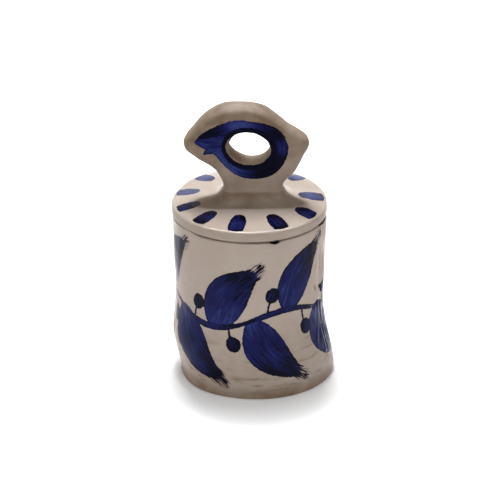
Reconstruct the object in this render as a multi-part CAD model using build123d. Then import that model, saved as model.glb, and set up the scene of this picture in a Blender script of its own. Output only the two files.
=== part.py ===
from build123d import *

import os
from math import cos, pi

# Lidded ceramic box with a pierced, eye-shaped handle, slab-built from luted clay pieces.
# Millimetres, +Z up. The origin is on the table, under the centre of the mouth. Seen along +Y
# the eye faces the viewer and +X is to the right.

# Jar
jar_height = 133.5  # table to rim
jar_radius = 60.3  # outside, where the wall swells above the foot
heel_height = 27.0  # the middle of that swelling
foot_draw = 0.1  # how far the wall draws in from the swelling, at the table
waist_draw = 2.9  # and where it is narrowest
waist_height = 66.0
mouth_draw = 1.0  # and at the rim
foot_shift = 6.2  # the foot stands this far to the right of the mouth
shift_height = 43.0  # above this the wall stands plumb under the mouth
wall_thickness = 6.0
base_thickness = 8.0
foot_round = 2.4
rim_round = 2.0
corner_coil_leg = 6.0  # coil pressed into the corner between base and wall
wall_sections = 16

# Lid
lid_overhang = 0.7  # past the outside of the mouth
lid_thickness = 8.0  # at its edge
lid_rise = 6.5  # how far the domed top stands above the edge, in the middle
lid_top_round = 2.6
lid_under_round = 1.6
ring_clearance = 1.6  # between the locating ring and the wall
ring_width = 5.5
ring_depth = 9.0
ring_round = 2.0

# Eye handle: plate thickness and edges, and its outline as (right of the axis, above the lid's edge)
handle_thickness = 18.0
handle_round = 5.5
neck_left = -18.8
neck_right = 24.6
neck_height = 11.0  # where the neck starts to open into the eye
left_under_points = [(-21.2, 21.6), (-27.8, 29.6), (-38.6, 36.8)]
left_tip = (-51.8, 46.4)
brow_points = [(-38.4, 67.0), (-27.0, 76.4), (-7.0, 80.6), (11.4, 76.8), (30.4, 62.4)]
right_tip = (48.2, 51.6)
right_under_points = [(42.0, 40.0), (34.4, 26.8)]
tip_round = 6.5
pupil_half_width = 16.5  # the hole through the eye, at its narrowest
pupil_half_height = 12.6
pupil_height = 47.4
pupil_tilt = -14.0  # degrees, falling to the right
pupil_round = 2.4

# Coil worked round the foot of the handle
coil_foot = 3.0  # its sections start this far above the lid's edge, inside the dome
coil_height = 10.0
coil_lip = 1.0  # thickness left where it feathers out on the neck
coil_side_flare = 11.5
coil_front_flare = 22.0
coil_sections = 5

mouth_radius = jar_radius - mouth_draw
lid_seat = jar_height
lid_edge = lid_seat + lid_thickness
lid_radius = mouth_radius + lid_overhang
ring_radius = mouth_radius - wall_thickness - ring_clearance
BOTTOM = (Align.CENTER, Align.CENTER, Align.MIN)
TOP = (Align.CENTER, Align.CENTER, Align.MAX)


def ease(low, high, share):
    """Goes smoothly from low to high as share goes from 0 to 1."""
    return low + (high - low) * (1 - cos(pi * share)) / 2


def wall_radius(z):
    """Outside radius of the hand-shaped wall at height z."""
    stations = [
        (0.0, jar_radius - foot_draw),
        (heel_height, jar_radius),
        (waist_height, jar_radius - waist_draw),
        (jar_height, mouth_radius),
    ]
    for (low, r_low), (high, r_high) in zip(stations, stations[1:]):
        if z <= high:
            return ease(r_low, r_high, (z - low) / (high - low))
    return mouth_radius


def wall_shift(z):
    """How far the wall's centre stands to the right of the mouth at height z."""
    return ease(foot_shift, 0.0, min(z / shift_height, 1.0))


def wall_loft(low, high, inset):
    """Solid under the wall's surface, drawn in by inset, between two heights."""
    heights = [low + (high - low) * i / wall_sections for i in range(wall_sections + 1)]
    return loft([Pos(wall_shift(z), 0, z) * Circle(wall_radius(z) - inset) for z in heights])


def edges_at(shape, z):
    """The edges of a shape that lie level at height z."""
    return shape.edges().filter_by_position(Axis.Z, z - 0.01, z + 0.01)


def make_jar():
    """Base slab, wall slab and the coil in the corner between them."""
    outside = wall_loft(0.0, jar_height, 0.0)
    cavity = wall_loft(base_thickness, jar_height, wall_thickness)
    level = Plane.XY.offset(base_thickness)

    base = split(outside, bisect_by=level, keep=Keep.BOTTOM)
    base = fillet(edges_at(base, 0.0), foot_round)

    wall = split(outside, bisect_by=level, keep=Keep.TOP) - cavity
    wall = fillet(edges_at(wall, jar_height), rim_round)

    smoothed_cavity = chamfer(edges_at(cavity, base_thickness), corner_coil_leg)
    return {"jar_base": base, "jar_wall": wall, "corner_coil": cavity - smoothed_cavity}


def make_lid():
    """Domed lid slab, and the ring under it that locates it in the mouth."""
    dome_radius = (lid_radius**2 + lid_rise**2) / (2 * lid_rise)
    crown = lid_edge + lid_rise
    slab = Pos(0, 0, lid_seat) * Cylinder(lid_radius, lid_thickness + lid_rise, align=BOTTOM)
    slab &= Pos(0, 0, crown - dome_radius) * Sphere(dome_radius)
    slab = fillet(edges_at(slab, lid_edge), lid_top_round)
    slab = fillet(edges_at(slab, lid_seat), lid_under_round)

    outer = Cylinder(ring_radius, ring_depth, align=TOP)
    inner = Cylinder(ring_radius - ring_width, ring_depth, align=TOP)
    ring = Pos(0, 0, lid_seat) * (outer - inner)
    ring = fillet(edges_at(ring, lid_seat - ring_depth), ring_round)
    return {"lid_slab": slab, "lid_ring": ring}


def eye_outline():
    """Face of the eye and its neck, drawn from the level of the lid's edge upwards."""
    foot_left, foot_right = (neck_left, 0), (neck_right, 0)
    top_left, top_right = (neck_left, neck_height), (neck_right, neck_height)
    edges = [
        Line(foot_left, top_left),
        Spline(top_left, *left_under_points, left_tip, tangents=[(0, 1), (-0.85, 0.52)]),
        Spline(left_tip, *brow_points, right_tip, tangents=[(0.52, 0.86), (0.84, -0.54)]),
        Spline(right_tip, *right_under_points, top_right, tangents=[(-0.51, -0.86), (0, -1)]),
        Line(top_right, foot_right),
        Line(foot_right, foot_left),
    ]
    face = make_face(edges)
    tips = [face.vertices().sort_by_distance((*tip, 0))[0] for tip in (left_tip, right_tip)]
    return fillet(tips, tip_round)


def make_handle(lid_slab):
    """Pierced eye on its neck, and the coil smoothed round its foot, both standing on the domed lid."""
    plane = Plane((0, 0, lid_edge), x_dir=(1, 0, 0), z_dir=(0, -1, 0))
    plate = extrude(plane * eye_outline(), handle_thickness / 2, both=True)
    outline = [e for f in plate.faces().filter_by(Axis.Y) for e in f.edges()]
    plate = fillet([e for e in outline if e.center().Z > lid_edge + 0.01], handle_round)

    pupil = Rot(0, 0, pupil_tilt) * Ellipse(pupil_half_width, pupil_half_height)
    pierced = plate - extrude(plane * Pos(0, pupil_height) * pupil, handle_thickness, both=True)
    openings = [w for f in pierced.faces().filter_by(Axis.Y) for w in f.inner_wires()]
    pierced = fillet([e for w in openings for e in w.edges()], pupil_round)

    sections = []
    for i in range(coil_sections + 1):
        rise = i / coil_sections
        spread = (1 - rise) ** 2
        width = neck_right - neck_left + 2 * (coil_lip + coil_side_flare * spread)
        depth = handle_thickness + 2 * (coil_lip + coil_front_flare * spread)
        corner = handle_round + coil_lip + coil_front_flare * spread
        place = Pos((neck_left + neck_right) / 2, 0, lid_edge + coil_foot + coil_height * rise)
        sections.append(place * RectangleRounded(width, depth, corner))
    return {"eye_handle": pierced - lid_slab, "handle_coil": loft(sections) - plate - lid_slab}


lid = make_lid()
parts = {**make_jar(), **lid, **make_handle(lid["lid_slab"])}
os.makedirs("parts", exist_ok=True)
for name, shape in parts.items():
    export_step(shape, os.path.join("parts", name + ".step"))
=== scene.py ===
from functools import reduce
from math import cos, pi, radians, sin, sqrt, tau

import bmesh
import bpy
import numpy as np
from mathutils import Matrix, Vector
from mathutils.bvhtree import BVHTree


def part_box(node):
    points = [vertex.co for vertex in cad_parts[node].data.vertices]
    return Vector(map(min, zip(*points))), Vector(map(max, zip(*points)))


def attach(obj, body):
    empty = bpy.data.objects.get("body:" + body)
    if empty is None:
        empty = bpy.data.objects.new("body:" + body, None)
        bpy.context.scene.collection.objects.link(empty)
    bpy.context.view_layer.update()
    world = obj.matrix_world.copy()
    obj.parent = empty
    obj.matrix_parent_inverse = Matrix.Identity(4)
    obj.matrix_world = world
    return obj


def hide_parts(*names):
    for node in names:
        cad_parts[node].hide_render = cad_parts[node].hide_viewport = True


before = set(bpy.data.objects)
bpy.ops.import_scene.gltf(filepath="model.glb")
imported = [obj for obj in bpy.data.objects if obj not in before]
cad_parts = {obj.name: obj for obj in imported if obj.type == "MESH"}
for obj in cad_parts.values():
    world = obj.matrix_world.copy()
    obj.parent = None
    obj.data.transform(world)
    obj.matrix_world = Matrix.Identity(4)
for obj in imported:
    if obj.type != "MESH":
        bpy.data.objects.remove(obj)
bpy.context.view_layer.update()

# Looks of the lidded ceramic box. The clay pieces of each body are luted, glazed and fired into one
# skin, so the jar and the lid are one mesh each, laid over the solids of the frame. Metres, +Z up, and
# the viewer stands at -Y. Sizes written in millimetres are turned into metres by MM.

MM = 0.001

# Levels, from the frame
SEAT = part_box("jar_wall")[1].z
BASE_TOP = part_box("jar_base")[1].z
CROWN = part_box("lid_slab")[1].z
COIL_LOW, COIL_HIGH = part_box("handle_coil")


# Numbers and curves


def smoothstep(value, low, high):
    """0 below low, 1 above high, and smooth between; high may be the lower of the two."""
    t = np.clip((value - low) / (high - low), 0, 1)
    return t * t * (3 - 2 * t)


def ripple(points, wavelength, seed, waves=24):
    """Smooth noise with a root mean square of 1: a seeded sum of plane waves."""
    rng = np.random.default_rng(seed)
    direction = rng.normal(size=(waves, 3))
    direction /= np.linalg.norm(direction, axis=1, keepdims=True)
    number = tau / (wavelength * rng.uniform(0.7, 1.4, waves))
    phase = rng.uniform(0, tau, waves)
    return np.sin(points @ (direction * number[:, None]).T + phase).sum(1) / sqrt(waves / 2)


def spread(values, count):
    """A few values along a length, as this many evenly spaced ones."""
    return np.interp(np.linspace(0, 1, count), np.linspace(0, 1, len(values)), values)


def bend(places, count):
    """Points along a smooth curve that passes through these places."""
    known = np.asarray(places, float)
    padded = np.concatenate([2 * known[:1] - known[1:2], known, 2 * known[-1:] - known[-2:-1]])
    at = np.linspace(0, len(known) - 1, count)
    k = np.minimum(at.astype(int), len(known) - 2)
    t = (at - k)[:, None]
    a, b, c, d = (padded[k + i] for i in range(4))
    return b + t / 2 * (c - a + t * (2 * a - 5 * b + 4 * c - d + t * (3 * (b - c) + d - a)))


def turned(u, v, degrees):
    """A place on a flat chart, turned to the left about its origin."""
    c, s = cos(radians(degrees)), sin(radians(degrees))
    return u * c - v * s, u * s + v * c


# Brush work: where a vertex lies in its stroke, all in millimetres

FAR = 99.0  # beyond any stroke
TEAR = 8.0  # how far beyond its edge a stroke is measured


class Stroke:
    """One stroke of the brush on a flat chart: its path, with half-width and load of paint along it."""

    def __init__(self, path, half_width, load, tone, dry_from=0.8):
        self.path = path
        self.half_width = spread(half_width, len(path))
        self.load = load
        self.tone = tone  # differs from stroke to stroke, so that no two are streaked alike
        self.dry_from = dry_from  # the share of its length from which the brush runs dry

    def near(self, chart):
        margin = max(self.half_width) + TEAR
        return ((chart > self.path.min(0) - margin) & (chart < self.path.max(0) + margin)).all(1)

    def measure(self, chart):
        """Distance to the stroke's edge, place along and across it, and share of its length."""
        best = np.full(len(chart), np.inf)
        along, across = np.zeros(len(chart)), np.zeros(len(chart))
        done = 0.0
        runs = zip(self.path, self.path[1:], self.half_width, self.half_width[1:])
        for k, (a, b, wide_a, wide_b) in enumerate(runs):
            step = b - a
            length = np.hypot(*step)
            offset = chart - a
            share = offset @ step / length**2
            t = np.clip(share, 0, 1)
            rest = offset - t[:, None] * step
            edge = np.hypot(rest[:, 0], rest[:, 1]) - (wide_a + t * (wide_b - wide_a))
            nearer = edge < best
            # Past the stroke's ends its streaks run straight on
            share = np.clip(share, 0 if k else None, None if k == len(self.path) - 2 else 1)
            best = np.where(nearer, edge, best)
            along = np.where(nearer, done + share * length, along)
            across = np.where(nearer, (step[0] * offset[:, 1] - step[1] * offset[:, 0]) / length, across)
            done += length
        return best, along, across, np.clip(along / done, 0, 1)


class Paint:
    """What the brush left at each vertex; a later stroke lies over an earlier one."""

    FIELDS = ("edge", "along", "across", "tone", "load", "dry")

    def __init__(self, count):
        for field in self.FIELDS:
            setattr(self, field, np.zeros(count))
        self.edge += FAR

    def lay(self, index, chart, stroke, limit=-FAR):
        """Lays a stroke on the vertices of index; it ends where limit, a distance, is above 0."""
        near = stroke.near(chart)
        spot = index[near]
        edge, along, across, share = stroke.measure(chart[near])
        edge = np.maximum(edge, np.broadcast_to(limit, near.shape)[near])
        dry = smoothstep(share, stroke.dry_from, stroke.dry_from + 0.2)
        painted = self.edge[spot] < 0
        top = (edge < 0) | (edge < self.edge[spot])
        laid = {
            "along": along,
            "across": across,
            "tone": np.full(len(spot), stroke.tone),
            "load": np.interp(share, np.linspace(0, 1, len(stroke.load)), stroke.load),
            "dry": np.where(painted, np.minimum(dry, self.dry[spot]), dry),
        }
        for field, values in laid.items():
            getattr(self, field)[spot[top]] = values[top]
        self.edge[spot] = np.minimum(edge, self.edge[spot])

    def store(self, mesh):
        for field in self.FIELDS:
            store(mesh, field, getattr(self, field))


def store(mesh, name, values):
    """Keeps a number per vertex for the material to read."""
    attribute = mesh.attributes.new(name, "FLOAT", "POINT")
    attribute.data.foreach_set("value", np.asarray(values, np.float32))


def skin(name, mesh, body, nodes):
    """A finished skin: smooth shaded, riding on its body in place of its solids."""
    mesh.shade_smooth()
    piece = bpy.data.objects.new(name, mesh)
    bpy.context.scene.collection.objects.link(piece)
    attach(piece, body)
    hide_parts(*nodes)
    return piece


# Jar

JAR_SEGMENTS = 440
# Rows of the jar's skin in mm, close set on the foot's round and on the rim's inner edge
FOOT_ROWS = (0.03, 0.15, 0.4, 0.8, 1.3, 1.9, 2.6, 3.4)
WALL_FROM, WALL_STEP = 4.2, 0.88
RIM_ROWS = (0.05, 0.2, 0.5, 0.9, 1.4, 2.1)
INNER_STEP = 4.0
DISH = 0.6  # mm, how far the underside is hollowed
COVE = 6.5  # mm, radius of the corner inside
RIM_ROUND = 1.1  # mm, of the rim's outer edge
RIM_GAP = 1.15  # mm, from the rim up to the lid
RIM_WAVES = [(0.18, 3, 1), (0.12, 7, 0)]  # height in mm, number round the rim and phase
RIM_BLEND = 7 * MM  # the wall takes up the rim's unevenness over this height
GIRTH_RADIUS = 58.5  # mm, of the flat chart that the wall's brush work is laid out on
GIRTH = tau * GIRTH_RADIUS
# Unevenness of the wall: height and wavelength in mm, and seed
JAR_RIPPLES = [(0.30, 60, 11), (0.11, 24, 12), (0.035, 9, 13)]
# Upright scraping marks: height and pitch in mm, and their middle and reach in degrees right of the front
FACET_HEIGHT, FACET_PITCH = 0.38, 7
FACETS_AT, FACETS_REACH = 74, 14
# Bulge of the foot: height in mm, and its middle and reach in degrees right of the front
BULGE, BULGE_AT, BULGE_REACH = 2.2, -48, 24
# Clay pushed up beside a crease: its share of the depth, and how many widths away it lies
BURR, BURR_AWAY = 0.45, 2.2
# Marks that the maker's hands left: degrees right of the front, height and length in mm, tilt in degrees,
# depth and width in mm
CREASES = [
    (62.0, 66.5, 10.0, 10.0, 1.40, 1.7),
    (62.5, 80.0, 8.0, -57.0, 1.30, 1.6),
    (71.0, 78.0, 10.0, -34.0, 1.30, 1.7),
    (78.0, 70.0, 12.0, 84.0, 1.10, 1.5),
    (74.0, 104.0, 30.0, 84.0, 0.70, 2.2),
    (67.0, 114.0, 15.0, 95.0, 0.45, 1.6),
    (82.0, 93.0, 44.0, 92.0, 0.75, 2.6),
    (66.0, 42.0, 20.0, 72.0, 0.60, 1.5),
    (73.0, 34.0, 26.0, 97.0, 0.85, 1.6),
    (79.0, 46.0, 28.0, 84.0, 0.85, 1.8),
    (85.0, 30.0, 24.0, 103.0, 0.75, 1.6),
    (70.0, 20.0, 14.0, 55.0, 0.60, 1.4),
    (-77.0, 44.0, 10.0, 80.0, 0.45, 1.3),
    (-80.0, 39.0, 9.0, 100.0, 0.45, 1.2),
    (-66.0, 30.0, 9.0, 5.0, 0.20, 1.6),
]
# Where the rim is low under the lid: degrees right of the front, reach in degrees and depth in mm
RIM_DIPS = [(19, 5, 1.0), (-39, 4, 0.6), (81, 14, 2.1), (150, 12, 0.8), (-120, 8, 0.6)]
# Where the lid rests on the rim: degrees right of the front and reach in degrees
RIM_SEATS = [(-52, 6), (112, 8), (180, 8)]
# Dark blots under the lid: paint that ran onto the rim, and at the right a wide one that is painted shade
# in the gap; degrees right of the front, width and half thickness in mm
RIM_BLOTS_AND_GAP_SHADE = [(19, 9.0, 0.9), (81, 34.0, 1.9)]
RIM_BLOT_DEPTHS = (1.3, 1.9, 1.7)  # mm below the rim, along a blot
RIM_BLOT_TAPER = (0.2, 0.8, 1.0, 0.6, 0.1)
RIM_BLOT_LOAD = (1.1, 1.1)
# How far the glaze turns brown, as a share: at the foot, where it lies thinner and has painted contact
# shade, on the lower wall, where it is painted shade, and in the creases, which are darker
FOOT_THIN_AND_SHADE, LOW_PAINTED_SHADE, CREASE_DARKENING = 0.95, 0.27, 0.9


def tree_of(node):
    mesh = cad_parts[node].data
    return BVHTree.FromPolygons([v.co for v in mesh.vertices], [p.vertices for p in mesh.polygons])


def section(tree, z, inside=False):
    """Centre along X and radius of the jar at height z, on its outer or its inner face."""
    hits = []
    for side in (-1, 1):
        start = Vector((0 if inside else side, 0, z))
        hits.append(tree.ray_cast(start, Vector((side if inside else -side, 0, 0)))[0].x)
    return (hits[0] + hits[1]) / 2, (hits[1] - hits[0]) / 2


def jar_profile():
    """Rows of (centre x, radius, z, share of relief), from the middle of the underside up the wall and
    down inside to the middle of the floor."""
    wall, base = tree_of("jar_wall"), tree_of("jar_base")
    seat, floor = SEAT / MM, BASE_TOP / MM
    rows = []
    foot_x, foot_radius = section(base, FOOT_ROWS[0] * MM)
    for share in np.linspace(0, 0.96, 9):
        dish = DISH * MM * float(smoothstep(share, 0.85, 0.75))
        rows.append((foot_x, share * foot_radius, dish, 0.0))
    for z in [*FOOT_ROWS, *np.arange(WALL_FROM, seat - RIM_ROWS[-1], WALL_STEP)]:
        x, radius = section(base if z < floor else wall, z * MM)
        rows.append((x, radius, z * MM, 1.0))
    for turn in np.linspace(0, pi / 2, 6):
        inset, drop = RIM_ROUND * (1 - cos(turn)), RIM_ROUND * (1 - sin(turn))
        rows.append((x, radius - inset * MM, (seat - drop) * MM, 1.0))
    rim = [seat - drop for drop in RIM_ROWS]
    for z in [*rim, *np.arange(seat - INNER_STEP, floor + COVE + 1, -INNER_STEP)]:
        x, radius = section(wall, z * MM, inside=True)
        rows.append((x, radius, z * MM, 0.5))
    x, radius = section(wall, (floor + COVE) * MM, inside=True)
    for turn in np.linspace(0, pi / 2, 7):
        inset, rise = COVE * (1 - cos(turn)), COVE * (1 - sin(turn))
        rows.append((x, radius - inset * MM, (floor + rise) * MM, 0.3))
    for share in np.linspace(0.88, 0, 8):
        rows.append((x, share * (radius - COVE * MM), floor * MM, 0.0))
    return np.array(rows)


def hump(right, middle, reach):
    """A smooth hump of height 1 round the jar, its middle and reach in degrees right of the front."""
    turn = (right - radians(middle) + pi) % tau - pi
    return np.exp(-((turn / radians(reach)) ** 2))


def creased(right, mm):
    """Depth of the creases in mm; below 0 on the clay that they pushed up beside them."""
    depth = np.zeros(len(right))
    for angle, height, length, tilt, deepest, width in CREASES:
        turn = (right - radians(angle) + pi) % tau - pi
        a, b = turned(turn * GIRTH_RADIUS, mm[:, 2] - height, -tilt)
        burr = np.exp(-(((b - BURR_AWAY * width) / width) ** 2))
        groove = np.exp(-((b / width) ** 2)) - BURR * burr
        depth += deepest * groove * np.exp(-((2 * a / length) ** 4))
    return depth


def jar_relief(right, points):
    """How far the hand-worked wall stands out of its true round, in mm."""
    mm = points / MM
    out = sum(height * ripple(mm, wavelength, seed) for height, wavelength, seed in JAR_RIPPLES)
    # Upright scraping marks on the upper wall
    wander = 1.5 * np.sin(mm[:, 2] / 19)
    facets = np.sin(right * GIRTH_RADIUS * tau / FACET_PITCH + wander)
    out += FACET_HEIGHT * facets * hump(right, FACETS_AT, FACETS_REACH) * smoothstep(mm[:, 2], 40, 65)
    return out - creased(right, mm)


def rim_drop(right):
    """How far the hand-cut rim lies under the lid, in mm."""
    drop = RIM_GAP
    for height, number, phase in RIM_WAVES:
        drop = drop + height * np.sin(number * right + phase)
    for middle, reach, depth in RIM_DIPS:
        drop = drop + depth * hump(right, middle, reach)
    for middle, reach in RIM_SEATS:
        drop = drop * (1 - hump(right, middle, reach))
    return drop


def jar_mesh():
    """The jar's skin as a grid turned round its axis, with the maker's unevenness.
    Gives its mesh, and each vertex's place, angle right of the front and whether it is outside."""
    profile = jar_profile()
    rows = len(profile) - 2  # the first and the last row are single points
    turn = np.linspace(0, tau, JAR_SEGMENTS, endpoint=False)
    centre, radius, z, share = (profile[1:-1, k, None] for k in range(4))
    x = centre + radius * np.cos(turn)
    y = radius * np.sin(turn)
    grid = np.stack([x, y, z + 0 * x], axis=2).reshape(-1, 3)
    right = np.tile(turn + pi / 2, rows)
    share = np.repeat(share[:, 0], JAR_SEGMENTS)
    outside = share == 1.0

    # The relief fades out at the table and at the rim
    fade = smoothstep(grid[:, 2], 0, 8 * MM) * smoothstep(grid[:, 2], SEAT, SEAT - 6 * MM)
    out = jar_relief(right, grid) * share * fade * MM
    # The foot bulges at the left of the front
    at_foot = smoothstep(grid[:, 2], 28 * MM, 4 * MM)
    out += BULGE * MM * hump(right, BULGE_AT, BULGE_REACH) * at_foot * outside
    grid[:, 0] += out * np.sin(right)
    grid[:, 1] -= out * np.cos(right)
    grid[:, 2] -= rim_drop(right) * MM * smoothstep(grid[:, 2], SEAT - RIM_BLEND, SEAT)

    ends = [(profile[0, 0], 0, profile[0, 2]), (profile[-1, 0], 0, profile[-1, 2])]
    points = np.concatenate([grid, ends])
    here = np.arange(rows * JAR_SEGMENTS).reshape(rows, JAR_SEGMENTS)
    beside = np.roll(here, -1, axis=1)
    faces = np.stack([here[:-1], beside[:-1], beside[1:], here[1:]], axis=2).reshape(-1, 4).tolist()
    under, floor = len(grid), len(grid) + 1
    faces += [(under, b, a) for a, b in zip(here[0].tolist(), beside[0].tolist())]
    faces += [(floor, a, b) for a, b in zip(here[-1].tolist(), beside[-1].tolist())]
    mesh = bpy.data.meshes.new("jar_skin")
    mesh.from_pydata(points.tolist(), [], faces)
    return mesh, points, np.append(right, [0, 0]), np.append(outside, [False, False])


# Olive branch round the wall, in mm and degrees
BRANCH_SEED = 5
STEM_HEIGHT = 66.0
STEM_SWAY = 7.0
STEM_WAVES = 3
STEM_HALF_WIDTH = 2.7
STEM_TAPER = (0.6, 0.95, 1.0, 0.8, 0.5)
STEM_LOAD = (0.4, 0.9)
STEM_OVERLAP = 0.56  # a stroke reaches this share of a half wave to each side
LEAVES = 12
LEAF_LENGTH = 63.0
LEAF_HALF_WIDTH = 16.2
LEAF_LEAN = 38.0  # from upright
LEAF_LOAD = (0.05, 0.35, 0.75, 1.0)
LEAF_POINTS = 28
BERRY_PLACE = 0.46  # share of the way from leaf to leaf
BERRY_STALK = 17.0
BERRY_AHEAD = 4.5
STALK_HALF_WIDTH = 0.9
BERRY_RADIUS = 5.6
BERRY_LOAD = (0.5, 0.8)
BERRY_POINTS = 14


def stem_height(s):
    return STEM_HEIGHT + STEM_SWAY * np.sin(STEM_WAVES * tau * s / GIRTH)


def leaf_width(count):
    """Half-width along a leaf that was pressed down at its foot and drawn off to a torn tip."""
    share = np.linspace(0, 1, count)
    swell = np.sin(pi / 2 * np.clip(share / 0.42, 0, 1)) ** 0.7
    return LEAF_HALF_WIDTH * np.maximum(swell * (1 - 0.72 * smoothstep(share, 0.42, 1)), 0.12)


def paint_jar(paint, right, points, outside):
    """An olive branch: leaves and berries on both sides of a waving stem."""
    rng = np.random.default_rng(BRANCH_SEED)
    index = np.flatnonzero(outside)
    girth = right[index] * GIRTH_RADIUS
    height = points[index, 2] / MM

    def lay(centre, *stroke, **more):
        """Lays a stroke whose path is given right of this place on the girth."""
        chart = np.stack([(girth - centre + GIRTH / 2) % GIRTH - GIRTH / 2, height], axis=1)
        paint.lay(index, chart, Stroke(*stroke, tone=rng.uniform(), **more))

    for k in range(LEAVES):
        side = 1 if k % 2 else -1
        centre = k * GIRTH / LEAVES + rng.uniform(-2, 2)
        foot = np.array([0.0, stem_height(centre)])
        length = LEAF_LENGTH * rng.uniform(0.94, 1.06)
        lean = radians(LEAF_LEAN + rng.uniform(-6, 6))
        tip = foot + length * np.array([sin(lean), side * cos(lean)])
        bow = foot + 0.5 * length * np.array([sin(lean - 0.2), side * cos(lean - 0.2)])
        wide = leaf_width(LEAF_POINTS) * rng.uniform(0.92, 1.08)
        lay(centre, bend([foot, bow, tip], LEAF_POINTS), wide, LEAF_LOAD, dry_from=0.76)

    half_wave = GIRTH / (2 * STEM_WAVES)
    for k in range(2 * STEM_WAVES):
        centre = (k + 0.5) * half_wave
        s = np.linspace(-STEM_OVERLAP, STEM_OVERLAP, 24) * half_wave
        path = np.stack([s, stem_height(s + centre)], axis=1)
        wide = STEM_HALF_WIDTH * np.array(STEM_TAPER)
        lay(centre, path, wide, STEM_LOAD, dry_from=0.88)

    for k in range(LEAVES):
        side = -1 if k % 2 else 1
        centre = (k + BERRY_PLACE) * GIRTH / LEAVES
        foot = np.array([0.0, stem_height(centre)])
        tip = foot + np.array([BERRY_AHEAD, side * (BERRY_STALK + rng.uniform(-2, 2))])
        swell = smoothstep(np.linspace(0, 1, BERRY_POINTS), 0.6, 0.92)
        wide = STALK_HALF_WIDTH + (BERRY_RADIUS - STALK_HALF_WIDTH) * swell
        path = bend([foot, (foot + tip) / 2 - (1, 0), tip], BERRY_POINTS)
        lay(centre, path, wide, BERRY_LOAD, dry_from=1.0)


def paint_rim(paint, right, points):
    """Dark blots on the rim: paint that ran under the lid, and painted shade in the gap at the right."""
    index = np.flatnonzero(points[:, 2] > SEAT - 8 * MM)
    for angle, width, thick in RIM_BLOTS_AND_GAP_SHADE:
        turn = (right[index] - radians(angle) + pi) % tau - pi
        chart = np.stack([turn * GIRTH_RADIUS, points[index, 2] / MM], axis=1)
        along = (-width / 2, 0, width / 2)
        path = bend([(s, SEAT / MM - depth) for s, depth in zip(along, RIM_BLOT_DEPTHS)], 12)
        wide = thick * np.array(RIM_BLOT_TAPER)
        paint.lay(index, chart, Stroke(path, wide, RIM_BLOT_LOAD, tone=0.5, dry_from=1.0))


def make_jar():
    mesh, points, right, outside = jar_mesh()
    paint = Paint(len(points))
    paint_jar(paint, right, points, outside)
    paint_rim(paint, right, points)
    paint.store(mesh)
    store(mesh, "bare", smoothstep(points[:, 2], 0.9 * MM, 0.2 * MM))
    store(mesh, "dull", np.zeros(len(points)))
    # Painted contact shade at the foot over thinner glaze, painted shade low on the wall, and darker
    # creases
    at_foot = FOOT_THIN_AND_SHADE * smoothstep(points[:, 2], 19 * MM, 1 * MM)
    low_down = LOW_PAINTED_SHADE * smoothstep(points[:, 2], 80 * MM, 35 * MM)
    in_crease = CREASE_DARKENING * smoothstep(creased(right, points / MM), 0.35, 1.2) * outside
    store(mesh, "thin_and_shade", np.maximum.reduce([at_foot, low_down, in_crease]))
    return skin("jar_skin", mesh, "jar", ("jar_wall", "jar_base", "corner_coil"))


# Lid

LID_VOXEL = 0.75 * MM
TOUCH = 0.05 * MM  # solids nearer than this touch
PRESS = 1.5 * MM  # and are pressed this far into each other, so that they fuse
# Rounds of smoothing: over the whole lid, with a step back that undoes its shrinking, and then on the
# coil, the eye and the lid's edge
LID_ROUNDS, LID_BACK = 14, 0.52
COIL_ROUNDS, EYE_ROUNDS, EDGE_ROUNDS = 60, 45, 8
# Unevenness of the lid: height on the slab and what the eye adds, wavelength in mm, and seed
LID_RIPPLES = [(0.12, 0.22, 34, 21), (0.05, 0.08, 14, 22)]
EYE_SWELL, BROW_SWELL = 0.35, 0.3  # mm, all over the eye, and how much more in its middle
BROW_RISE, BROW_SLOPE = 0.5, 2.1  # mm, of the brow's top at the back, and how far it falls to the front
BACK_RISE, RIGHT_BACK_RISE = 1.3, 0.9  # mm, how far the slab rises to the back, and more at the right
RIDGE_HEIGHT, RIDGE_HALF_WIDTH = 0.2, 1.3  # mm, of the ridge at the coil's upper edge
LID_SEED = 9
# Tongues round the lid: degrees right of the front, inner end from the axis and half-width
# in mm, and load of paint
TONGUES = [
    (-167, 41.0, 6.6, 0.1),
    (-137, 41.5, 6.6, 0.0),
    (-104, 39.5, 6.6, 0.1),
    (-73, 39.5, 5.8, 0.5),
    (-44, 38.0, 6.7, 0.6),
    (-11, 36.0, 6.5, 0.6),
    (25.5, 37.5, 6.8, 0.7),
    (59, 41.5, 6.7, 0.6),
    (93.5, 38.0, 7.2, 0.1),
    (135, 43.5, 6.6, 0.0),
    (164, 41.0, 6.6, 0.1),
]
TONGUE_TO = 57.8  # mm, outer end, from the axis
TONGUE_TAPER = (0.8, 0.97, 1.0, 0.95, 0.84)
TONGUE_END_ROUND = 0.035  # how much the outer end falls back to its sides
# Strokes round the eye's hole: places right of and above its middle, half-width in mm and load along each
EYE_STROKES = [
    ([(-39.5, 6.5), (-34, 9), (-27, 12.5), (-20, 15.7), (-10, 18.5), (0.5, 18.2), (9, 16.7),
      (17, 13.2), (23, 9.5)],
     (1.5, 4.2, 5.2, 5.3, 4.9, 4.5, 4.6, 5.2, 4.4), (1.1, 1.2, 0.5, 0.0, 0.05, 0.3, 1.0, 1.3)),
    ([(-34, -3.5), (-30, -0.5), (-25.5, 0.8), (-21.5, -2.2), (-17.3, -7.2), (-11.5, -12.7),
      (-4.5, -17.4), (4, -18.8), (12.5, -16.9), (19, -11.2), (23, -3.5), (23.6, 3.5), (22, 8.5)],
     (1.2, 3.4, 5.0, 5.3, 5.6, 5.8, 6.0, 6.1, 6.5, 6.5, 6.3, 5.8, 4.5),
     (0.5, 0.1, -0.1, -0.05, 0.0, 0.5, 1.2, 1.2, 0.9, 0.3, 0.9)),
    ([(-39, 5.5), (-31, 4.5), (-20, 6)], (2.4, 4.8, 4.8), (0.3, 0.05, 0.2)),
]
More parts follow.
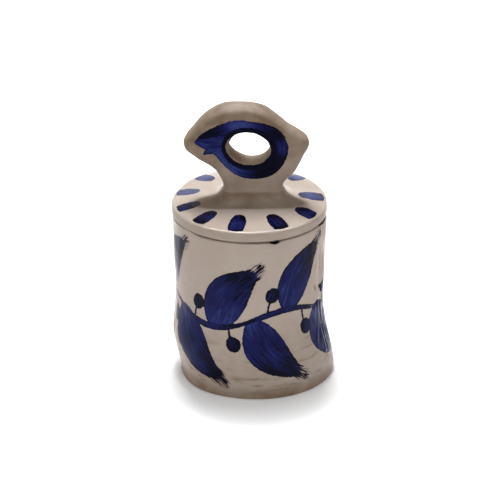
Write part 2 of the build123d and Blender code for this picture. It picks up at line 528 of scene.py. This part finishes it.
EYE_RING_REACH = (18.6, 14.4)
EYE_RING_HALF_WIDTH = 2.9
EYE_RING_LOAD = (1.2, 1.3, 1.0, 0.8, 1.1, 1.3, 1.2)
HOLE_REACH = (16.5, 12.6)
HOLE_TILT = -14.0  # degrees, falling to the right
# The oval in front of the handle's foot, over the coil and the slab, that holds the handle's painted
# shadow: how far ahead of the axis it lies, and its half sizes, in mm
SHADOW_OVAL_AHEAD = 12.0
SHADOW_OVAL_HALF_WIDTH = 43.0
SHADOW_OVAL_HALF_DEPTH = 14.7
# Painted shade on the lid, as a share of the brown: on the eye, how much more at its top and on its steep
# faces, in its hole and on the slab's side
EYE_SHADE, EYE_TOP_SHADE, EYE_STEEP_SHADE = 0.52, 0.42, 0.12
HOLE_SHADE, SIDE_SHADE = 0.95, 0.2
# How dull it is, as a share of the painted shade on the eye, and in the handle's painted shadow
EYE_DULL, HANDLE_SHADOW_DULL = 0.8, 0.65


def fused_mesh(name, host, *others):
    """One closed skin over several solids. Where the others touch the host they are pressed into it."""
    ground = tree_of(host)
    joined = bmesh.new()
    joined.from_mesh(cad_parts[host].data)
    for node in others:
        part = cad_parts[node].data.copy()
        for vertex in part.vertices:
            spot, normal, _, away = ground.find_nearest(vertex.co)
            if away < TOUCH:
                vertex.co = spot - PRESS * normal
        joined.from_mesh(part)
        bpy.data.meshes.remove(part)
    mesh = bpy.data.meshes.new(name)
    joined.to_mesh(mesh)
    joined.free()
    rough = bpy.data.objects.new(name, mesh)
    bpy.context.scene.collection.objects.link(rough)
    remesh = rough.modifiers.new("fuse", "REMESH")
    remesh.mode = "VOXEL"
    remesh.voxel_size = LID_VOXEL
    whole = bpy.data.meshes.new_from_object(rough.evaluated_get(bpy.context.evaluated_depsgraph_get()))
    bpy.data.objects.remove(rough)
    return whole


def vertex_rows(collection, field):
    """A vector per vertex, as an array."""
    values = np.empty(3 * len(collection), np.float32)
    collection.foreach_get(field, values)
    return values.reshape(-1, 3).astype(float)


def relaxed(points, pairs, weight, rounds, back=0.0):
    """Points drawn towards their neighbours; back undoes the shrinking that this brings."""
    a, b = pairs.T
    count = len(points)
    degree = np.maximum(np.bincount(pairs.ravel(), minlength=count), 1)[:, None]
    for _ in range(rounds):
        for step in (0.5, -back) if back else (0.5,):
            around = [
                np.bincount(a, points[b, k], count) + np.bincount(b, points[a, k], count)
                for k in range(3)
            ]
            points = points + weight[:, None] * step * (np.stack(around, axis=1) / degree - points)
    return points


def near_coil(points):
    """1 on the coil round the handle's foot and beside it, 0 away from it."""
    middle, half = (COIL_LOW + COIL_HIGH) / 2, (COIL_HIGH - COIL_LOW) / 2
    beyond = np.maximum(np.abs(points[:, 0] - middle.x) - half.x, np.abs(points[:, 1]) - half.y)
    near = smoothstep(beyond, 9 * MM, 3 * MM)
    near *= smoothstep(points[:, 2], COIL_LOW.z - 4 * MM, COIL_LOW.z - 2 * MM)
    return near * smoothstep(points[:, 2], COIL_HIGH.z + 12 * MM, COIL_HIGH.z + 2 * MM)


def on_eye(points):
    """1 on the eye, 0 below it."""
    return smoothstep(points[:, 2], COIL_HIGH.z, COIL_HIGH.z + 8 * MM)


def on_lid_edge(points):
    """1 on the lid's upper edge, 0 elsewhere."""
    outer = smoothstep(np.hypot(points[:, 0], points[:, 1]), 51 * MM, 55 * MM)
    return outer * smoothstep(points[:, 2], SEAT + 3 * MM, SEAT + 5 * MM)


def lid_relief(points, normals):
    """How far the hand-worked lid stands out of its true shape, in mm; most of all on the eye."""
    mm = points / MM
    high = smoothstep(points[:, 2], CROWN + 2 * MM, CROWN + 16 * MM)
    out = sum(
        (height + more * high) * ripple(mm, wavelength, seed)
        for height, more, wavelength, seed in LID_RIPPLES
    )
    # The brow was left thick in the middle, and slopes down to the front
    brow = smoothstep(mm[:, 0], -46, -32) * smoothstep(mm[:, 0], 32, 8)
    slope = BROW_RISE - BROW_SLOPE * smoothstep(mm[:, 1], 1, -8)
    up = np.clip(normals[:, 2], 0, 1)
    out += high * (EYE_SWELL + brow * (BROW_SWELL + up * slope))
    # The slab rises a little to the back, most of all at the right
    back = BACK_RISE * smoothstep(mm[:, 1], 12, 52)
    back = back + RIGHT_BACK_RISE * smoothstep(mm[:, 0] + mm[:, 1], 35, 75)
    back = back * (1 - high) * smoothstep(up, 0.3, 0.9)
    out += back * smoothstep(mm[:, 2], SEAT / MM + 4, SEAT / MM + 7)
    # A ridge where the coil's upper edge was pressed to the neck
    wander = 0.8 * ripple(mm, 22, 23)
    ridge = np.exp(-(((mm[:, 2] - COIL_HIGH.z / MM - 1 - wander) / RIDGE_HALF_WIDTH) ** 2))
    out += RIDGE_HEIGHT * ridge * smoothstep(np.abs(normals[:, 2]), 0.95, 0.7)
    return out * smoothstep(points[:, 2], SEAT + 1 * MM, SEAT + 4 * MM)


def lid_mesh():
    """The lid's skin, and the places and normals of its vertices."""
    mesh = fused_mesh("lid_skin", "lid_slab", "lid_ring", "eye_handle", "handle_coil")
    points = vertex_rows(mesh.vertices, "co")
    pairs = np.empty(2 * len(mesh.edges), np.int32)
    mesh.edges.foreach_get("vertices", pairs)
    pairs = pairs.reshape(-1, 2)
    points = relaxed(points, pairs, np.ones(len(points)), LID_ROUNDS, LID_BACK)
    points = relaxed(points, pairs, near_coil(points), COIL_ROUNDS)
    points = relaxed(points, pairs, on_eye(points), EYE_ROUNDS)
    points = relaxed(points, pairs, on_lid_edge(points), EDGE_ROUNDS)
    mesh.vertices.foreach_set("co", points.ravel())
    mesh.update()
    normals = vertex_rows(mesh.vertex_normals, "vector")
    points = points + normals * (lid_relief(points, normals) * MM)[:, None]
    mesh.vertices.foreach_set("co", points.ravel())
    mesh.update()
    return mesh, points, normals


def hole_middle():
    """Middle of the eye's hole, right of the axis and above the table, in mm."""
    tree = tree_of("eye_handle")
    low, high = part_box("eye_handle")
    middle = Vector(((low.x + high.x) / 2, 0, low.z + 0.55 * (high.z - low.z)))
    for axis in (Vector((0, 0, 1)), Vector((1, 0, 0)), Vector((0, 0, 1))):
        middle = (tree.ray_cast(middle, axis)[0] + tree.ray_cast(middle, -axis)[0]) / 2
    return np.array([middle.x, middle.z]) / MM


def paint_tongues(paint, points, normals, rng):
    """Tongues round the lid's edge."""
    mm = points / MM
    on_top = (normals[:, 2] > 0.5) & (mm[:, 2] > SEAT / MM + 4) & (mm[:, 2] < CROWN / MM + 1)
    index = np.flatnonzero(on_top)
    chart = mm[index, :2]
    for angle, start, half_width, load in TONGUES:
        ahead = np.array([sin(radians(angle)), -cos(radians(angle))])
        path = np.linspace(start + half_width * 0.75, TONGUE_TO, 10)[:, None] * ahead
        wide = half_width * np.array(TONGUE_TAPER)
        loads = (load + 0.2, load - 0.1, load, load + 0.3)
        stroke = Stroke(path, wide, loads, rng.uniform(), dry_from=1.0)
        aside = chart @ (-ahead[1], ahead[0])
        limit = chart @ ahead - TONGUE_TO + TONGUE_END_ROUND * aside**2
        paint.lay(index, chart, stroke, limit)


def eye_strokes(rng):
    """The strokes that draw the eye, and a ring round its hole laid over them."""
    for places, half_width, load in EYE_STROKES:
        yield Stroke(bend(places, 48), half_width, load, rng.uniform(), dry_from=0.93)
    around = np.linspace(0, tau, 60)
    wide, high = EYE_RING_REACH
    ring = np.stack(turned(wide * np.cos(around), high * np.sin(around), HOLE_TILT), axis=1)
    yield Stroke(ring, (EYE_RING_HALF_WIDTH,) * 2, EYE_RING_LOAD, rng.uniform(), dry_from=1.0)


def paint_eye(paint, points, normals, rng):
    """Strokes round the hole, on both faces of the eye."""
    mm = points / MM
    middle = hole_middle()
    for face in (-1, 1):
        index = np.flatnonzero((face * normals[:, 1] > 0.1) & (mm[:, 2] > COIL_HIGH.z / MM))
        chart = mm[index][:, (0, 2)] - middle
        # The paint stops on the hole's rounded edge, and at its lower left it keeps further off
        u, v = turned(*chart.T, -HOLE_TILT)
        shy = 0.02 + 0.09 * smoothstep(-chart @ (0.06, 0.08), -0.2, 0.8)
        limit = HOLE_REACH[0] * (1 + shy - np.hypot(u / HOLE_REACH[0], v / HOLE_REACH[1]))
        for stroke in eye_strokes(rng):
            paint.lay(index, chart, stroke, limit)


def lid_glaze(points, normals):
    """How dull the lid's glaze is, and the painted shade that browns it on the eye, its hole, the slab's
    side and before the handle.
    """
    away = np.hypot(*(points[:, (0, 2)] / MM - hole_middle()).T)
    # Painted shade on the wall of the eye's hole
    in_hole = smoothstep(away, 22, 20) * smoothstep(np.abs(normals[:, 1]), 0.75, 0.45)
    # Painted shade on the eye: browner all over, most of all at its top and on its steep faces
    steep = smoothstep(np.abs(normals[:, 2]), 0.95, 0.25)
    above = smoothstep(points[:, 2], CROWN, CROWN + 4 * MM)
    higher = smoothstep(points[:, 2], CROWN + 18 * MM, CROWN + 56 * MM)
    eye_shade = above * (EYE_SHADE + EYE_TOP_SHADE * higher + EYE_STEEP_SHADE * steep)
    # Painted shadow of the handle, browning the coil's front and the slab before it
    ahead = -points[:, 1] / MM - SHADOW_OVAL_AHEAD
    out = np.hypot(points[:, 0] / MM / SHADOW_OVAL_HALF_WIDTH, ahead / SHADOW_OVAL_HALF_DEPTH)
    handle_shadow = smoothstep(out, 1.12, 0.93)
    handle_shadow *= smoothstep(points[:, 2], COIL_HIGH.z + 1 * MM, COIL_HIGH.z - 2 * MM)
    handle_shadow *= smoothstep(points[:, 2], COIL_LOW.z - 3 * MM, COIL_LOW.z - 1 * MM)
    # Painted shade on the slab's upright side
    on_side = steep * smoothstep(np.hypot(points[:, 0], points[:, 1]), 56 * MM, 58 * MM)
    dull = np.maximum.reduce([in_hole, EYE_DULL * eye_shade, HANDLE_SHADOW_DULL * handle_shadow])
    thin_and_shade = np.maximum.reduce([HOLE_SHADE * in_hole, eye_shade, handle_shadow, SIDE_SHADE * on_side])
    return dull, thin_and_shade


def make_lid():
    mesh, points, normals = lid_mesh()
    paint = Paint(len(points))
    rng = np.random.default_rng(LID_SEED)
    paint_tongues(paint, points, normals, rng)
    paint_eye(paint, points, normals, rng)
    paint.store(mesh)
    dull, thin_and_shade = lid_glaze(points, normals)
    store(mesh, "bare", np.zeros(len(points)))
    store(mesh, "dull", dull)
    store(mesh, "thin_and_shade", thin_and_shade)
    return skin("lid_skin", mesh, "lid", ("lid_slab", "lid_ring", "eye_handle", "handle_coil"))


# Materials


class Nodes:
    """Builds the shader graph of a material or of the world, a node at a time."""

    def __init__(self, owner):
        owner.use_nodes = True
        self.tree = owner.node_tree
        self.tree.nodes.clear()

    def make(self, kind, inputs=None, **settings):
        node = self.tree.nodes.new("ShaderNode" + kind)
        for key, value in settings.items():
            setattr(node, key, value)
        for key, value in (inputs or {}).items():
            if isinstance(value, bpy.types.NodeSocket):
                self.tree.links.new(value, node.inputs[key])
            else:
                node.inputs[key].default_value = value
        return node

    def math(self, operation, a, b):
        return self.make("Math", {0: a, 1: b}, operation=operation).outputs[0]

    def plus(self, *values):
        return reduce(lambda a, b: self.math("ADD", a, b), values)

    def times(self, *values):
        return reduce(lambda a, b: self.math("MULTIPLY", a, b), values)

    def most(self, *values):
        return reduce(lambda a, b: self.math("MAXIMUM", a, b), values)

    def ramp(self, value, low, high, to_low=0.0, to_high=1.0):
        """Smooth step from low to high, given as to_low to to_high."""
        inputs = {"Value": value, "From Min": low, "From Max": high, "To Min": to_low, "To Max": to_high}
        return self.make("MapRange", inputs, interpolation_type="SMOOTHSTEP").outputs[0]

    def mix(self, factor, a, b):
        return self.make("Mix", {0: factor, 6: a, 7: b}, data_type="RGBA").outputs[2]

    def noise(self, vector, scale, detail=2.0, roughness=0.5):
        inputs = {"Vector": vector, "Scale": scale, "Detail": detail, "Roughness": roughness}
        return self.make("TexNoise", inputs).outputs["Fac"]

    def attribute(self, name):
        return self.make("Attribute", attribute_name=name).outputs["Fac"]

    def vector(self, x, y, z):
        return self.make("CombineXYZ", {0: x, 1: y, 2: z}).outputs[0]

    def seen(self):
        """1 to the camera and in reflections, 0 for the light that falls on things."""
        path = self.make("LightPath").outputs
        return self.most(path["Is Camera Ray"], path["Is Glossy Ray"], path["Is Transmission Ray"])


GLAZE_DEEP = (0.470, 0.386, 0.328, 1)
GLAZE_PALE = (0.503, 0.428, 0.369, 1)
GLAZE_FLECK = (0.425, 0.346, 0.286, 1)
# Brown of thinner glaze, which is also the colour of the painted shade
GLAZE_THIN_AND_SHADE = (0.203, 0.142, 0.093, 1)
IRON = (0.055, 0.036, 0.026, 1)
BLUE_THIN = (0.030, 0.046, 0.185, 1)
BLUE = (0.0075, 0.0095, 0.075, 1)
BLUE_POOLED = (0.0004, 0.0006, 0.009, 1)
CLAY_DEEP = (0.50, 0.41, 0.32, 1)
CLAY_PALE = (0.58, 0.49, 0.39, 1)
GLAZE_IOR = 1.14  # below a real glaze's, so that the dark paint stays dark under the plain light


def glaze_colour(g, place, cloud, fine):
    """Uneven taupe with iron specks; browner in smears near the foot, in thinner glaze and in painted
    shade.
    """
    glaze = g.mix(g.ramp(cloud, 0.3, 0.7), GLAZE_DEEP, GLAZE_PALE)
    glaze = g.mix(g.ramp(fine, 0.35, 0.75, 0.0, 0.25), glaze, GLAZE_FLECK)
    patch = g.noise(place, 42.0, 2.0)
    mottle = g.times(g.ramp(patch, 0.35, 0.65, 0.74, 1.02), g.ramp(fine, 0.3, 0.7, 0.92, 1.06))
    # This brown stands for thinner glaze and also for painted shade on the eye, in its hole, on the lid's
    # side, before the handle's foot and low on the jar
    thin_and_shade = g.times(g.attribute("thin_and_shade"), mottle)
    glaze = g.mix(thin_and_shade, glaze, GLAZE_THIN_AND_SHADE)

    height = g.make("SeparateXYZ", {0: place}).outputs[2]
    level = g.make("VectorMath", {0: place, 1: (40.0, 40.0, 230.0)}, operation="MULTIPLY").outputs[0]
    smear = g.ramp(g.noise(level, 1.0, 3.0, 0.6), 0.48, 0.74)
    smear = g.times(smear, g.ramp(height, 0.056, 0.032), g.ramp(patch, 0.38, 0.56), 0.8)
    glaze = g.mix(smear, glaze, GLAZE_THIN_AND_SHADE)

    speck = g.make("TexVoronoi", {"Vector": place, "Scale": 95.0, "Randomness": 1.0})
    rare = g.ramp(speck.outputs["Color"], 0.80, 0.84)
    dot = g.ramp(speck.outputs["Distance"], 0.050, 0.022)
    return g.mix(g.times(dot, rare, 0.8), glaze, IRON)


def cobalt(g, place):
    """Cover, colour and relief of the brush work: streaked, dark where it pooled and torn where dry."""
    edge, along, across, tone, load, dry = (g.attribute(field) for field in Paint.FIELDS)
    hairs = g.vector(g.times(across, 0.85), g.times(along, 0.045), g.times(tone, 37.0))
    bristle = g.noise(hairs, 1.0, 3.0, 0.6)
    broad = g.vector(g.times(across, 0.10), g.times(along, 0.07), g.times(tone, 11.0))
    swell = g.noise(broad, 1.0, 2.0)

    tear = g.times(g.plus(bristle, -0.5), g.plus(1.3, g.times(dry, 22.0)))
    fray = g.times(g.plus(g.noise(place, 420.0, 3.0, 0.6), -0.5), 1.6)
    inside = g.ramp(g.plus(edge, tear, fray), 0.14, -0.14)
    worn = g.ramp(g.plus(bristle, g.times(dry, -0.42)), -0.02, 0.05)
    cover = g.times(inside, worn)

    pooled = g.ramp(edge, -1.8, -0.3, 0.0, 0.16)
    laden = g.times(g.plus(load, -0.45), 0.55)
    thick = g.plus(g.times(bristle, 0.95), g.times(swell, 0.7), laden, pooled)
    colour = g.mix(g.ramp(thick, 0.45, 0.80), BLUE_THIN, BLUE)
    colour = g.mix(g.ramp(thick, 0.80, 1.08), colour, BLUE_POOLED)
    return cover, colour, g.times(cover, g.plus(0.02, g.times(bristle, 0.06)))


def glazed_clay():
    """Glossy taupe glaze over stoneware, with cobalt brush work under it and a bare foot."""
    material = bpy.data.materials.new("glazed_clay")
    g = Nodes(material)
    place = g.make("TexCoord").outputs["Object"]
    cloud = g.noise(place, 28.0, 3.0, 0.55)
    fine = g.noise(place, 160.0, 3.0, 0.6)
    cover, blue, strokes = cobalt(g, place)
    bare = g.attribute("bare")
    colour = g.mix(cover, glaze_colour(g, place, cloud, fine), blue)
    colour = g.mix(bare, colour, g.mix(fine, CLAY_DEEP, CLAY_PALE))

    rough = g.plus(g.ramp(cloud, 0.3, 0.7, 0.12, 0.18), g.times(g.most(bare, g.attribute("dull")), 0.5))
    waves = g.plus(g.times(g.noise(place, 120.0), 0.10), g.times(g.noise(place, 520.0), 0.012), strokes)
    bump = g.make("Bump", {"Height": waves, "Distance": 1 * MM, "Strength": 0.6}).outputs[0]
    inputs = {"Base Color": colour, "Roughness": rough, "IOR": GLAZE_IOR, "Normal": bump}
    g.make("OutputMaterial", {"Surface": g.make("BsdfPrincipled", inputs).outputs[0]})
    return material


# Stage, light and camera

WHITE = (1, 1, 1, 1)
FLOOR_WHITE = 0.90
# Painted light on the floor: the lift rises away from the box and fades the outer part of its shadow
FLOOR_LIFT_AND_PAINTED_LIGHT = (0.10, 0.50)  # how much a floor that is seen is lifted, beside the box and away from it
PAINTED_LIGHT_REACH = (62 * MM, 106 * MM)  # between these distances from the axis
FAR_LIFT = 0.4  # and how much more where the lamps fall off
FAR_LIFT_REACH = (0.3, 2.0)
FLOOR_SIZE = 8.0
ROOM_FRONT, ROOM_BACK = 0.80, 0.12  # how bright the room is in front of the box and behind it
ROOM_TURN = (-0.5, 0.3)  # the Y parts of a direction between which the one turns into the other
WALLS_END = (0.60, 0.45)  # the Z parts of one where the white walls have ended and where they are whole
LAMP_TARGET = (0, 0, 0.12)
KEY_PLACE = (-0.07, 0.50, 1.50)
GLINT_PLACE = (0.0, 0.29, 1.55)
BACKDROP_PLACE = (0.0, 1.6, 0.45)
BACKDROP_TARGET = (0, 0, 0.45)
CAMERA_ELEVATION = 25.2
CAMERA_DISTANCE = 2.58
CAMERA_TARGET = Vector((0.5, 0.0, 99.7)) * MM
LENS = 240.0


def white_stage():
    """White floor; the lift makes the unshaded floor a clean white, and its rise away from the box is
    painted light that fades the shadow.
    """
    material = bpy.data.materials.new("white_stage")
    g = Nodes(material)
    floor = g.make("BsdfDiffuse", {"Color": (FLOOR_WHITE, FLOOR_WHITE, FLOOR_WHITE, 1)}).outputs[0]
    place = g.make("TexCoord").outputs["Object"]
    from_axis = g.make("VectorMath", {0: place}, operation="LENGTH").outputs["Value"]
    # Painted light: the lift rises away from the box and fades its shadow
    near = g.ramp(from_axis, *PAINTED_LIGHT_REACH, *FLOOR_LIFT_AND_PAINTED_LIGHT)
    far = g.ramp(from_axis, *FAR_LIFT_REACH, 0.0, FAR_LIFT)
    strength = g.times(g.seen(), g.plus(near, far))
    lift = g.make("Emission", {"Color": WHITE, "Strength": strength}).outputs[0]
    g.make("OutputMaterial", {"Surface": g.make("AddShader", {0: floor, 1: lift}).outputs[0]})
    return material


def make_floor():
    mesh = bpy.data.meshes.new("floor")
    half = FLOOR_SIZE / 2
    corners = [(-half, -half, 0), (half, -half, 0), (half, half, 0), (-half, half, 0)]
    mesh.from_pydata(corners, [], [(0, 1, 2, 3)])
    floor = bpy.data.objects.new("floor", mesh)
    bpy.context.scene.collection.objects.link(floor)
    mesh.materials.append(white_stage())


def make_world():
    """A room with white walls below a dim ceiling; most of the light it gives comes from the front."""
    world = bpy.data.worlds.new("room")
    g = Nodes(world)
    toward = g.make("SeparateXYZ", {0: g.make("TexCoord").outputs["Generated"]}).outputs
    light = g.ramp(toward["Y"], *ROOM_TURN, ROOM_FRONT, ROOM_BACK)
    walls = g.times(g.seen(), g.ramp(toward["Z"], *WALLS_END))
    strength = g.most(light, walls)
    room = g.make("Background", {"Color": WHITE, "Strength": strength}).outputs[0]
    g.make("OutputWorld", {"Surface": room})
    bpy.context.scene.world = world


def softbox(name, place, target, size, radiance, glossy_only=False):
    """A rectangular lamp of the given width and height that faces its target."""
    lamp = bpy.data.lights.new(name, "AREA")
    lamp.shape = "RECTANGLE"
    lamp.size, lamp.size_y = size
    lamp.energy = radiance * pi * size[0] * size[1]
    box = bpy.data.objects.new(name, lamp)
    box.location = place
    box.rotation_euler = (Vector(target) - Vector(place)).to_track_quat("-Z", "Y").to_euler()
    box.visible_diffuse = not glossy_only
    bpy.context.scene.collection.objects.link(box)


def make_camera():
    camera = bpy.data.cameras.new("camera")
    camera.lens = LENS
    camera.clip_end = 50
    piece = bpy.data.objects.new("camera", camera)
    tilt = radians(CAMERA_ELEVATION)
    piece.location = CAMERA_TARGET + CAMERA_DISTANCE * Vector((0, -cos(tilt), sin(tilt)))
    piece.rotation_euler = (pi / 2 - tilt, 0, 0)
    bpy.context.scene.collection.objects.link(piece)
    bpy.context.scene.camera = piece


jar, lid = make_jar(), make_lid()
glaze = glazed_clay()
for piece in (jar, lid):
    piece.data.materials.append(glaze)
make_floor()
make_world()
softbox("key", KEY_PLACE, LAMP_TARGET, size=(0.35, 0.42), radiance=44)
softbox("glint", GLINT_PLACE, LAMP_TARGET, size=(2.0, 0.5), radiance=88, glossy_only=True)
softbox("backdrop", BACKDROP_PLACE, BACKDROP_TARGET, size=(3.0, 0.88), radiance=1.3)
make_camera()
bpy.context.scene.view_settings.view_transform = "Standard"
